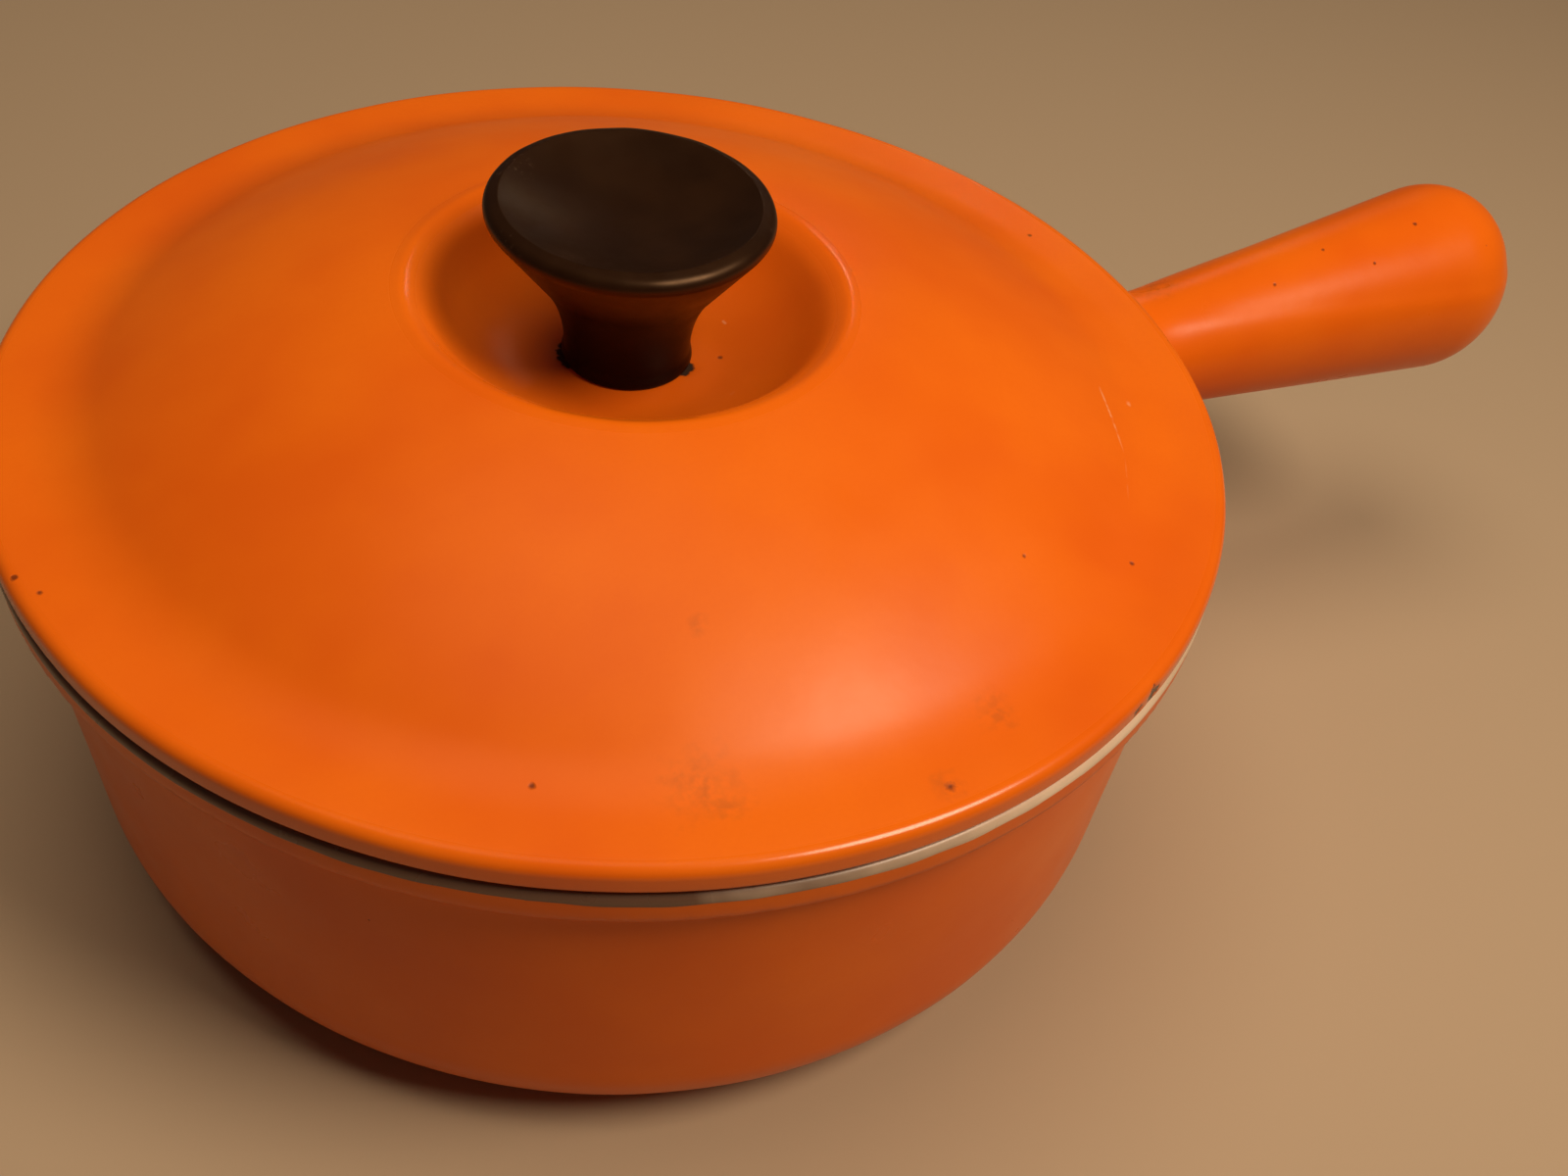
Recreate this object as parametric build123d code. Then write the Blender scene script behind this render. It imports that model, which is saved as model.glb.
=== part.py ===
from build123d import *
import math
import os

# A covered cast-iron saucepan, enamelled inside and out, with a knobbed lid.
# Millimetres. +Z is up, the bowl's axis is Z, the handle points along +X,
# and the origin is on the bowl's axis, on the flat underside it stands on.

# ---- driving dimensions: pan -------------------------------------------
COAT = 0.4                    # thickness of each fused enamel coat
RIM_HEIGHT = 76.5             # top of the pan's rim above the table
RIM_RADIUS = 105.2            # outside of the lip round the rim
RIM_OUTER_ROUND = 1.5
RIM_INNER_ROUND = 1.4
LIP_FOOT = 67.2               # height where the wall starts to swell into the lip
LIP_LEAN = 48.0               # degrees the lip's underside leans out by
LIP_CURVE = 2.2               # radius of both curves of the lip's underside
WALL_TOP_RADIUS = 102.0       # outside of the wall under the lip
WALL_FOOT_RADIUS = 101.3      # outside of the wall where the bottom curve starts
BOTTOM_ROUND = 20.0           # curve between the wall and the base
MOUTH_RADIUS = 98.0           # inside of the pan at the rim
CAVITY_FOOT_RADIUS = 97.3     # inside of the pan where its bottom curve starts
CAVITY_ROUND = 16.0
CAVITY_FLOOR = 4.6            # height of the inside floor
ENAMEL_LINE = 75.2            # where the pale inside coat meets the coloured one
BARE_BASE_RADIUS = 79.0       # flat disc of ground bare iron under the pan

# ---- driving dimensions: handle ----------------------------------------
HANDLE_AXIS_HEIGHT = 63.4     # height of the handle's axis at the pan's wall
HANDLE_RISE = 2.4             # degrees the handle climbs away from the pan
HANDLE_LENGTH = 103.9         # from the pan's wall to the handle's tip
HANDLE_ROOT_RADIUS = 10.3     # radius of the straight taper at the wall
HANDLE_TAPER = 5.85           # degrees the handle widens by
HANDLE_SHOULDER = 16.8        # radius between the taper and the domed end
HANDLE_TIP_ROUND = 22.9       # radius of the domed end
FLARE_HEIGHT = 5.0            # how far the root flares beyond the taper
FLARE_LENGTH = 16.0           # length along which the flare dies away
FLARE_TOP = 74.9              # the flare stays below this height, clear of the lid

# ---- driving dimensions: lid -------------------------------------------
SEAT_GAP = 0.3                # between the lid's flange and the rim
LID_RADIUS = 105.0
FLANGE_THICKNESS = 5.2
FLANGE_INNER_RADIUS = 97.0    # where the flat flange turns up into the dome
FLANGE_TOP_ROUND = 2.0
FLANGE_LOW_ROUND = 1.4
DOME_TURN_RADIUS = 24.0       # hollow curve between flange and dome
DOME_FOOT_SLOPE = 27.5        # degrees, the dome at its steepest
DOME_HEAD_SLOPE = 10.0        # degrees, the dome where it nears the crest
DOME_HEAD_RADIUS = 37.7       # distance from the axis where the crest starts
CREST_ROUND = 4.5             # tight curve over the crest of the dome
CREST_INNER_SLOPE = 26.0      # degrees, where the crest's curve eases into the hollow
CREST_INNER_ROUND = 8.0
HOLLOW_SLOPE = 52.0           # degrees, wall of the hollow round the knob
HOLLOW_ROUND = 20.0           # curve between the hollow's wall and its floor
HOLLOW_DEPTH = 12.95          # from the crest to the hollow's flat floor
LID_THICKNESS = 4.0           # dome and hollow, coats included
RING_OUTER_RADIUS = 96.6      # locating ring that hangs inside the pan's mouth
RING_INNER_RADIUS = 93.0
RING_DROP = 4.0               # below the flange's underside
RING_ROUND = 1.2
SCREW_HOLE_RADIUS = 3.3

# ---- driving dimensions: knob and its fixing ---------------------------
KNOB_RADIUS = 23.0
KNOB_FOOT_RADIUS = 11.0
KNOB_FOOT_EDGE = 0.7
KNOB_NECK_CURVE = 3.0         # radius of the two curves from foot to neck
KNOB_NECK_TURN = 20.0
KNOB_FLARE_ROUND = 20.0
KNOB_FLARE_LEAN = 38.0        # degrees the flare leans out by
KNOB_RIM_LOW_ROUND = 1.6
KNOB_RIM_TOP_ROUND = 1.8
KNOB_RIM_TURN = 72.0
KNOB_DISH_RADIUS = 20.8
KNOB_DISH_EDGE = 0.5
KNOB_DISH_SLOPE = 24.0        # degrees, the dish just inside its edge

INSERT_RADIUS = 4.5
INSERT_LENGTH = 15.0
INSERT_GROOVE_DEPTH = 0.7
INSERT_GROOVE_WIDTH = 3.0
INSERT_BORE_RADIUS = 3.0
INSERT_BORE_DEPTH = 13.0
SCREW_RADIUS = 2.9            # M6 thread, modelled plain
SCREW_REACH = 11.0            # length inside the insert
SCREW_HEAD_RADIUS = 6.2
SCREW_HEAD_HEIGHT = 3.2
SCREW_HEAD_ROUND = 1.4
SCREW_SLOT_WIDTH = 1.4
SCREW_SLOT_DEPTH = 1.4
WASHER_RADIUS = 9.0
WASHER_THICKNESS = 1.2

LID_SEAT = RIM_HEIGHT + SEAT_GAP
LID_PLANE = LID_SEAT + FLANGE_THICKNESS


def sine(degrees):
    return math.sin(math.radians(degrees))


def cosine(degrees):
    return math.cos(math.radians(degrees))


def tangent(degrees):
    return math.tan(math.radians(degrees))


class Outline:
    """A path in the X-Z plane made of straight runs and tangent arcs.

    The heading is in degrees, from +X towards +Z. The inset moves the whole
    path sideways, to the left of its heading, and keeps every arc tangent.
    """

    def __init__(self, x, z, heading, inset=0.0):
        self.heading = heading
        self.inset = inset
        self.x = x - inset * sine(heading)
        self.z = z + inset * cosine(heading)
        self.start = Vector(self.x, 0, self.z)
        self.edges = []

    def jump(self, x, z):
        """A straight edge to a point, whatever the heading."""
        here = Vector(self.x, 0, self.z)
        there = Vector(x, 0, z)
        if (there - here).length > 1e-6:
            self.edges.append(Line(here, there))
        self.x, self.z = x, z

    def line(self, length):
        self.jump(self.x + length * cosine(self.heading), self.z + length * sine(self.heading))

    def run_to_x(self, x):
        self.line((x - self.x) / cosine(self.heading))

    def run_to_z(self, z):
        self.line((z - self.z) / sine(self.heading))

    def arc(self, radius, turn):
        """Turn by so many degrees, positive to the left."""
        side = math.copysign(1, turn)
        true_radius = radius - side * self.inset
        centre = Vector(
            self.x - side * true_radius * sine(self.heading),
            0,
            self.z + side * true_radius * cosine(self.heading),
        )

        def on_arc(share):
            heading = self.heading + turn * share
            return centre + side * true_radius * Vector(sine(heading), 0, -cosine(heading))

        self.edges.append(ThreePointArc(on_arc(0), on_arc(0.5), on_arc(1)))
        end = on_arc(1)
        self.x, self.z = end.X, end.Z
        self.heading += turn

    def solid(self, axis=Axis.Z):
        """Close the path and turn it about the axis."""
        self.jump(self.start.X, self.start.Z)
        return revolve(make_face(Wire(self.edges)), axis, 360)


def disc(radius, low, high):
    return Pos(0, 0, (low + high) / 2) * Cylinder(radius, high - low)


# ---- pan ----------------------------------------------------------------
def pan_outside(skin):
    """The bowl's outer shape filled solid, its surface set in by skin."""
    draft = math.degrees(math.atan2(WALL_TOP_RADIUS - WALL_FOOT_RADIUS, LIP_FOOT - BOTTOM_ROUND))
    lip_start = 90 - draft - LIP_LEAN
    path = Outline(0, 0, 0, inset=skin)
    path.run_to_x(WALL_FOOT_RADIUS - BOTTOM_ROUND)
    path.arc(BOTTOM_ROUND, 90 - draft)
    path.run_to_z(LIP_FOOT)
    path.arc(LIP_CURVE, -LIP_LEAN)
    path.run_to_x(RIM_RADIUS - skin - (LIP_CURVE - skin) * (1 - sine(lip_start)))
    path.arc(LIP_CURVE, 90 - lip_start)
    path.run_to_z(RIM_HEIGHT - RIM_OUTER_ROUND)
    path.arc(RIM_OUTER_ROUND, 90)
    path.run_to_x(0)
    return path.solid()


def pan_inside(skin):
    """The hollow of the bowl, grown by skin and open above the rim."""
    draft = math.degrees(math.atan2(MOUTH_RADIUS - CAVITY_FOOT_RADIUS, RIM_HEIGHT - CAVITY_ROUND - CAVITY_FLOOR))
    path = Outline(0, CAVITY_FLOOR, 0, inset=-skin)
    path.run_to_x(CAVITY_FOOT_RADIUS - CAVITY_ROUND)
    path.arc(CAVITY_ROUND, 90 - draft)
    path.run_to_z(RIM_HEIGHT - RIM_INNER_ROUND)
    path.arc(RIM_INNER_ROUND, draft - 90)
    path.jump(path.x, RIM_HEIGHT + 5)
    path.jump(0, RIM_HEIGHT + 5)
    return path.solid()


def grip(skin, flare):
    """The handle turned about its own axis, its root flared or plain, set in by skin."""
    # The shoulder's arc is tangent to the taper and to the dome, whose centre is on the axis.
    dome_centre = HANDLE_LENGTH - HANDLE_TIP_ROUND
    gap = HANDLE_TIP_ROUND - HANDLE_SHOULDER
    slope = tangent(HANDLE_TAPER)
    drop = HANDLE_SHOULDER * sine(HANDLE_TAPER)
    level = HANDLE_ROOT_RADIUS + (dome_centre - drop) * slope - HANDLE_SHOULDER * cosine(HANDLE_TAPER)
    spread = 1 + slope**2
    ahead = (math.sqrt((level * slope) ** 2 - spread * (level**2 - gap**2)) - level * slope) / spread
    dome_turn = math.degrees(math.atan2(level + ahead * slope, ahead))
    shoulder_start = dome_centre + ahead - drop

    # The flare's arc is tangent to the taper where the flare dies away.
    flare_lean = HANDLE_TAPER + 2 * math.degrees(math.atan2(flare - FLARE_LENGTH * slope, FLARE_LENGTH))
    root_radius = HANDLE_ROOT_RADIUS + flare
    root_depth = 12.0
    if flare:
        path = Outline(0, root_radius, -flare_lean, inset=-skin)
        path.arc(FLARE_LENGTH / (sine(flare_lean) + sine(HANDLE_TAPER)), flare_lean + HANDLE_TAPER)
    else:
        path = Outline(0, root_radius, HANDLE_TAPER, inset=-skin)
    path.run_to_x(shoulder_start + skin * sine(HANDLE_TAPER))
    path.arc(HANDLE_SHOULDER, dome_turn - 90 - HANDLE_TAPER)
    path.arc(HANDLE_TIP_ROUND, -dome_turn)
    path.jump(path.x, 0)
    path.jump(-root_depth, 0)
    path.jump(-root_depth, path.start.Z)
    body = path.solid(Axis.X)
    return Pos(WALL_TOP_RADIUS, 0, HANDLE_AXIS_HEIGHT) * Rot(0, -HANDLE_RISE, 0) * body


def pan_filled(skin):
    reach = WALL_TOP_RADIUS + HANDLE_LENGTH
    flared_root = grip(skin, FLARE_HEIGHT) & disc(reach, 0, FLARE_TOP - skin)
    return pan_outside(skin) + grip(skin, 0) + flared_root


def make_pan():
    iron = pan_filled(COAT)
    bare_base = disc(BARE_BASE_RADIUS, 0, COAT)
    above_line = disc(RIM_RADIUS + 1, ENAMEL_LINE, RIM_HEIGHT + 1)
    casting = iron - pan_inside(COAT) + bare_base
    skins = pan_filled(0) - iron - bare_base
    rim_skin = (skins & above_line) - pan_inside(0)
    lining = (pan_inside(COAT) & pan_filled(0)) - pan_inside(0)
    return casting, skins - above_line, rim_skin + lining


# ---- lid ----------------------------------------------------------------
def dome_path(depth):
    """The lid's upper surface from the axis out to the flange, sunk by depth, and its floor's height."""
    foot_x = FLANGE_INNER_RADIUS - DOME_TURN_RADIUS * sine(DOME_FOOT_SLOPE)
    dome_round = (foot_x - DOME_HEAD_RADIUS) / (sine(DOME_FOOT_SLOPE) - sine(DOME_HEAD_SLOPE))
    crest_x = DOME_HEAD_RADIUS - CREST_ROUND * sine(DOME_HEAD_SLOPE)
    crest_z = LID_PLANE + DOME_TURN_RADIUS * (1 - cosine(DOME_FOOT_SLOPE))
    crest_z += dome_round * (cosine(DOME_HEAD_SLOPE) - cosine(DOME_FOOT_SLOPE))
    crest_z += CREST_ROUND * (1 - cosine(DOME_HEAD_SLOPE))
    floor_z = crest_z - HOLLOW_DEPTH
    wall_drop = HOLLOW_DEPTH - CREST_ROUND * (1 - cosine(CREST_INNER_SLOPE))
    wall_drop -= CREST_INNER_ROUND * (cosine(CREST_INNER_SLOPE) - cosine(HOLLOW_SLOPE))
    wall_drop -= HOLLOW_ROUND * (1 - cosine(HOLLOW_SLOPE))
    floor_x = crest_x - CREST_ROUND * sine(CREST_INNER_SLOPE)
    floor_x -= CREST_INNER_ROUND * (sine(HOLLOW_SLOPE) - sine(CREST_INNER_SLOPE))
    floor_x -= HOLLOW_ROUND * sine(HOLLOW_SLOPE) + wall_drop / tangent(HOLLOW_SLOPE)

    path = Outline(0, floor_z, 0, inset=-depth)
    path.run_to_x(floor_x)
    path.arc(HOLLOW_ROUND, HOLLOW_SLOPE)
    path.line(wall_drop / sine(HOLLOW_SLOPE))
    path.arc(CREST_INNER_ROUND, CREST_INNER_SLOPE - HOLLOW_SLOPE)
    path.arc(CREST_ROUND, -CREST_INNER_SLOPE - DOME_HEAD_SLOPE)
    path.arc(dome_round, DOME_HEAD_SLOPE - DOME_FOOT_SLOPE)
    path.arc(DOME_TURN_RADIUS, DOME_FOOT_SLOPE)
    return path, floor_z


def under_dome(depth, radius):
    """Everything below the upper surface sunk by depth, out to radius."""
    path, _ = dome_path(depth)
    low = LID_SEAT - 2 * RING_DROP
    path.jump(path.x, low)
    path.jump(0, low)
    return path.solid() & disc(radius, low, LID_PLANE + 50)


def lid_body(skin):
    """The whole lid with every surface set in by skin."""
    path, _ = dome_path(skin)
    path.run_to_x(LID_RADIUS - FLANGE_TOP_ROUND)
    path.arc(FLANGE_TOP_ROUND, -90)
    path.run_to_z(LID_SEAT + FLANGE_LOW_ROUND)
    path.arc(FLANGE_LOW_ROUND, -90)
    path.run_to_x(RING_OUTER_RADIUS + RING_ROUND)
    path.arc(RING_ROUND, 90)
    path.run_to_z(LID_SEAT - RING_DROP + RING_ROUND)
    path.arc(RING_ROUND, -90)
    path.run_to_x(RING_INNER_RADIUS + RING_ROUND)
    path.arc(RING_ROUND, -90)
    path.run_to_z(LID_SEAT)
    path.jump(0, LID_SEAT)
    hole = disc(SCREW_HOLE_RADIUS, LID_SEAT, LID_PLANE + 50)
    return path.solid() - under_dome(LID_THICKNESS - skin, RING_INNER_RADIUS + skin) - hole


def make_lid():
    casting = lid_body(COAT)
    skins = lid_body(0) - casting
    lower_side = under_dome(LID_THICKNESS / 2, FLANGE_INNER_RADIUS)
    lower_side += disc(LID_RADIUS + 1, LID_SEAT - 2 * RING_DROP, LID_SEAT + FLANGE_LOW_ROUND)
    return casting, skins - lower_side, skins & lower_side


# ---- knob and its fixing ------------------------------------------------
def knob_outside():
    path = Outline(0, 0, 0)
    path.run_to_x(KNOB_FOOT_RADIUS - KNOB_FOOT_EDGE)
    path.arc(KNOB_FOOT_EDGE, 90)
    path.arc(KNOB_NECK_CURVE, KNOB_NECK_TURN)
    path.arc(KNOB_NECK_CURVE, -KNOB_NECK_TURN)
    path.arc(KNOB_FLARE_ROUND, -KNOB_FLARE_LEAN)
    path.run_to_x(KNOB_RADIUS - KNOB_RIM_LOW_ROUND * (1 - cosine(KNOB_FLARE_LEAN)))
    path.arc(KNOB_RIM_LOW_ROUND, KNOB_FLARE_LEAN)
    path.arc(KNOB_RIM_TOP_ROUND, KNOB_RIM_TURN)
    path.run_to_x(KNOB_DISH_RADIUS)
    path.arc(KNOB_DISH_EDGE, 90 - KNOB_RIM_TURN + KNOB_DISH_SLOPE)
    path.arc(path.x / sine(KNOB_DISH_SLOPE), -KNOB_DISH_SLOPE)
    return path.solid()


def insert_outside():
    groove = disc(INSERT_RADIUS, 0, INSERT_GROOVE_WIDTH) - disc(
        INSERT_RADIUS - INSERT_GROOVE_DEPTH, 0, INSERT_GROOVE_WIDTH
    )
    return disc(INSERT_RADIUS, 0, INSERT_LENGTH) - Pos(0, 0, INSERT_LENGTH / 2) * groove


def make_screw(washer_low, insert_low):
    shank = disc(SCREW_RADIUS, washer_low, insert_low + SCREW_REACH)
    head = disc(SCREW_HEAD_RADIUS, washer_low - SCREW_HEAD_HEIGHT, washer_low)
    head = fillet(head.edges().group_by(Axis.Z)[0], SCREW_HEAD_ROUND)
    slot = Box(4 * SCREW_HEAD_RADIUS, SCREW_SLOT_WIDTH, 2 * SCREW_SLOT_DEPTH)
    return head + shank - Pos(0, 0, washer_low - SCREW_HEAD_HEIGHT) * slot


def make_knob_parts():
    _, floor_z = dome_path(0)
    washer_high = floor_z - LID_THICKNESS
    washer_low = washer_high - WASHER_THICKNESS
    seat = Pos(0, 0, floor_z)
    knob = seat * (knob_outside() - insert_outside())
    insert = seat * (insert_outside() - disc(INSERT_BORE_RADIUS, 0, INSERT_BORE_DEPTH))
    screw = make_screw(washer_low, floor_z)
    washer = disc(WASHER_RADIUS, washer_low, washer_high) - disc(SCREW_HOLE_RADIUS, washer_low, washer_high)
    return knob, insert, screw, washer


def main():
    pan_casting, pan_exterior_enamel, pan_interior_enamel = make_pan()
    lid_casting, lid_top_enamel, lid_underside_enamel = make_lid()
    knob, knob_insert, knob_screw, knob_washer = make_knob_parts()
    nodes = {
        "pan_casting": pan_casting,
        "pan_exterior_enamel": pan_exterior_enamel,
        "pan_interior_enamel": pan_interior_enamel,
        "lid_casting": lid_casting,
        "lid_top_enamel": lid_top_enamel,
        "lid_underside_enamel": lid_underside_enamel,
        "knob": knob,
        "knob_insert": knob_insert,
        "knob_screw": knob_screw,
        "knob_washer": knob_washer,
    }
    os.makedirs("parts", exist_ok=True)
    for name, shape in nodes.items():
        export_step(shape, f"parts/{name}.step")


main()
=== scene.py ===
import bpy
import bmesh
import math
import numpy as np
from mathutils import Matrix, Vector


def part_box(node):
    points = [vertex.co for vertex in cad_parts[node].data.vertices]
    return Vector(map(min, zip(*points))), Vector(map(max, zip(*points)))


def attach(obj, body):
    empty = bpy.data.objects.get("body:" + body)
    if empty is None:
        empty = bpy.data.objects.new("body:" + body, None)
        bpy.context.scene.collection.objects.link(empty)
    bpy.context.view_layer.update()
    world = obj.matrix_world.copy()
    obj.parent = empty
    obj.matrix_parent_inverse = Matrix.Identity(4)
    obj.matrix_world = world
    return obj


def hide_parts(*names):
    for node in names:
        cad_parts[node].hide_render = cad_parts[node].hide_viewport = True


# A covered enamelled saucepan. Named lengths are millimetres and angles are degrees, but
# lights are placed in metres. Every mesh is built in the frame's metres, on the bowl's axis.

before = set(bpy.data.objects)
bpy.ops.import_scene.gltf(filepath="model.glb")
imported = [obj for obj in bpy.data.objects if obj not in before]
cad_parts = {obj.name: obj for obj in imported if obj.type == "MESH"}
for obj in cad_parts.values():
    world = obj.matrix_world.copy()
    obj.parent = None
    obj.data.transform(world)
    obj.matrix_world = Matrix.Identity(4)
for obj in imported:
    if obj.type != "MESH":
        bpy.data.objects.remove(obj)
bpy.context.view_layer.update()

scene = bpy.context.scene
scene.view_settings.view_transform = "Standard"
MM = 0.001

# ---- dimensions ---------------------------------------------------------------
COAT = 0.36  # thickness of every coat of enamel

# lid: its seat, the flange's plane and its edge
LID_EDGE_ROUND, LID_EDGE_FOOT = 2.0, 1.4
LID_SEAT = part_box("lid_top_enamel")[0][2] / MM - LID_EDGE_FOOT
LID_PLANE = LID_SEAT + 5.2
LID_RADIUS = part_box("lid_top_enamel")[1][0] / MM
LID_THICKNESS = 4.0
SCREW_HOLE = 3.4
# lid: the dome from the flange inward, its crest, and the hollow round the knob
DOME_FOOT, DOME_FOOT_ROUND, DOME_SLOPE = 97.0, 24.0, 27.5
DOME_HEAD, DOME_HEAD_SLOPE = 37.7, 10.0
CREST_ROUND, CREST_INNER_SLOPE, CREST_INNER_ROUND = 4.5, 26.0, 8.0
HOLLOW_SLOPE, HOLLOW_ROUND = 52.0, 20.0
# lid: the ring under it that finds the pan's mouth
RING_OUTER, RING_INNER, RING_DEPTH, RING_ROUND = 96.6, 93.0, 4.0, 1.2

KNOB_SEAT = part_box("knob")[0][2] / MM
KNOB_RADIUS, KNOB_BORE, KNOB_BORE_DEPTH = 23.0, 4.6, 15.0
KNOB_FOOT, KNOB_FOOT_EDGE = 11.0, 0.7
KNOB_NECK_CURVE, KNOB_NECK_TURN = 3.0, 20.0
KNOB_FLARE_ROUND, KNOB_FLARE_LEAN = 20.0, 38.0
KNOB_RIM_LOW_ROUND, KNOB_RIM_TOP_ROUND, KNOB_RIM_TURN = 1.6, 1.8, 72.0
KNOB_DISH_RADIUS, KNOB_DISH_EDGE, KNOB_DISH_EDGE_TURN, KNOB_DISH_LEAN = 20.8, 0.5, 42.0, 24.0

# pan: the wall and bottom, the lip round the rim, and the inside
WALL_TOP, WALL_FOOT, LIP_FOOT, BOTTOM_ROUND = 102.0, 101.3, 67.2, 20.0
LIP_LEAN, LIP_CURVE = 48.0, 2.2
RIM_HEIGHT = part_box("pan_interior_enamel")[1][2] / MM
RIM_RADIUS, RIM_OUTER_ROUND, RIM_INNER_ROUND = 105.2, 1.5, 1.4
MOUTH, CAVITY_FOOT, CAVITY_FLOOR, CAVITY_ROUND = 98.0, 97.3, 4.6, 16.0
ENAMEL_LINE = 75.0  # where the orange coat stops and the pale one starts
BARE_BASE = 79.0  # radius of the bare iron under the pan
# pan: the handle, a taper with a round end, and its flare into the wall
HANDLE_HEIGHT, HANDLE_RISE, HANDLE_LENGTH = 63.4, 2.4, 103.9
HANDLE_ROOT, HANDLE_TAPER, SHOULDER, TIP = 10.3, 5.85, 16.8, 22.9
FLARE, FLARE_LENGTH, FLARE_TOP = 5.0, 16.0, 74.9
ROOT_BLEND, ROOF_BLEND, GRIP_BLEND = 5.0, 2.0, 1.0
ROOT_DEPTH = 10.0  # how far the handle's solid starts inside the wall


def sine(degrees):
    return math.sin(math.radians(degrees))


def cosine(degrees):
    return math.cos(math.radians(degrees))


def tangent(degrees):
    return math.tan(math.radians(degrees))


LARGEST_TURN = 9  # degrees between two points of an arc
SHARP_EDGE = 40  # degrees from which an edge is shaded sharp


class Path:
    """Points along straight runs and tangent arcs in the r-z plane. Heading 0 is outward, 90 is up."""

    def __init__(self, r, z, heading, step=1.5):
        self.r, self.z, self.heading, self.step = r, z, heading, step
        self.points = [(r, z)]

    def jump(self, r, z):
        count = max(1, math.ceil(math.hypot(r - self.r, z - self.z) / self.step))
        for i in range(1, count + 1):
            self.points.append((self.r + (r - self.r) * i / count, self.z + (z - self.z) * i / count))
        self.r, self.z = r, z

    def line(self, length):
        self.jump(self.r + length * cosine(self.heading), self.z + length * sine(self.heading))

    def run_to_r(self, r):
        self.line((r - self.r) / cosine(self.heading))

    def run_to_z(self, z):
        self.line((z - self.z) / sine(self.heading))

    def arc(self, radius, turn):
        side = math.copysign(1, turn)
        cr = self.r - side * radius * sine(self.heading)
        cz = self.z + side * radius * cosine(self.heading)
        length = radius * math.radians(abs(turn))
        count = max(2, math.ceil(length / self.step), math.ceil(abs(turn) / LARGEST_TURN))
        for i in range(1, count + 1):
            h = self.heading + turn * i / count
            self.points.append((cr + side * radius * sine(h), cz - side * radius * cosine(h)))
        self.r, self.z = self.points[-1]
        self.heading += turn


def left_offset(points, distance):
    """The same path moved sideways, to the left of its heading."""
    p = np.array(points)
    d = np.gradient(p, axis=0)
    d /= np.linalg.norm(d, axis=1)[:, None]
    return p + distance * np.stack([-d[:, 1], d[:, 0]], 1)


def ripple(az, along, seed, amplitude, waves=26):
    """A smooth, seeded, slightly uneven surface: height at an azimuth and a distance along the path."""
    rng = np.random.default_rng(seed)
    height = np.zeros(np.broadcast(az, along).shape)
    for _ in range(waves):
        turns = rng.integers(1, 22)
        per_mm = rng.uniform(0.02, 0.28)
        height += np.cos(turns * az + per_mm * along + rng.uniform(0, 2 * math.pi)) / math.sqrt(waves)
    return amplitude * height


def mesh_object(name, verts, faces):
    mesh = bpy.data.meshes.new(name)
    mesh.from_pydata([tuple(v) for v in verts], [], faces)
    mesh.update()
    obj = bpy.data.objects.new(name, mesh)
    scene.collection.objects.link(obj)
    for poly in mesh.polygons:
        poly.use_smooth = True
    return obj


def revolve_grid(grid_r, grid_z, closed=True):
    """Vertices and faces from radii and heights: one row per path point, one column per azimuth."""
    rows, cols = grid_r.shape
    az = np.linspace(0, 2 * math.pi, cols, endpoint=False)
    verts = np.stack([grid_r * np.cos(az), grid_r * np.sin(az), grid_z], -1).reshape(-1, 3) * MM
    faces = []
    for i in range(rows if closed else rows - 1):
        a, b = i * cols, (i + 1) % rows * cols
        faces += [(a + j, a + (j + 1) % cols, b + (j + 1) % cols, b + j) for j in range(cols)]
    return verts, faces


def finish_solid(obj):
    """Turn every face outward and mark the sharp edges."""
    bm = bmesh.new()
    bm.from_mesh(obj.data)
    bmesh.ops.recalc_face_normals(bm, faces=bm.faces)
    bm.to_mesh(obj.data)
    bm.free()
    obj.data.set_sharp_from_angle(angle=math.radians(SHARP_EDGE))
    return obj


def turned_shell(name, outer, thickness, cols, shape=None, inner_every=3):
    """A closed coat turned about Z: the seen surface, shaped by a function, over a plain one."""
    outer = np.array(outer)
    keep = sorted(set(range(0, len(outer), inner_every)) | {len(outer) - 1})
    inner = left_offset(outer, thickness)[keep][::-1]
    az = np.linspace(0, 2 * math.pi, cols, endpoint=False)
    r = np.repeat(outer[:, :1], cols, 1)
    z = np.repeat(outer[:, 1:], cols, 1)
    if shape is not None:
        r, z = shape(az[None, :], r, z)
    r = np.vstack([r, np.repeat(inner[:, :1], cols, 1)])
    z = np.vstack([z, np.repeat(inner[:, 1:], cols, 1)])
    verts, faces = revolve_grid(r, z)
    return finish_solid(mesh_object(name, verts, faces))


def turned_solid(name, profile, cols, shape=None):
    """A closed solid turned about Z from a path that starts and ends on the axis."""
    p = np.array(profile)
    az = np.linspace(0, 2 * math.pi, cols, endpoint=False)
    r = np.repeat(p[1:-1, :1], cols, 1)
    z = np.repeat(p[1:-1, 1:], cols, 1)
    if shape is not None:
        r, z = shape(az[None, :], r, z)
    verts, faces = revolve_grid(r, z, closed=False)
    verts = np.vstack([verts, [[0, 0, p[0, 1] * MM], [0, 0, p[-1, 1] * MM]]])
    first, last = len(verts) - 2, len(verts) - 1
    top = (len(p) - 3) * cols
    faces += [(first, (j + 1) % cols, j) for j in range(cols)]
    faces += [(last, top + j, top + (j + 1) % cols) for j in range(cols)]
    return finish_solid(mesh_object(name, verts, faces))


# ---- camera and light ------------------------------------------------
CAMERA_PLACE = (-89.4, -204.6, 243.6)
CAMERA_PAN, CAMERA_TILT, CAMERA_ROLL = 31.97, 51.195, 8.373
CAMERA_LENS = 35.15
CAMERA_SHIFT = (0.0204, 0.1456)


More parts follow.
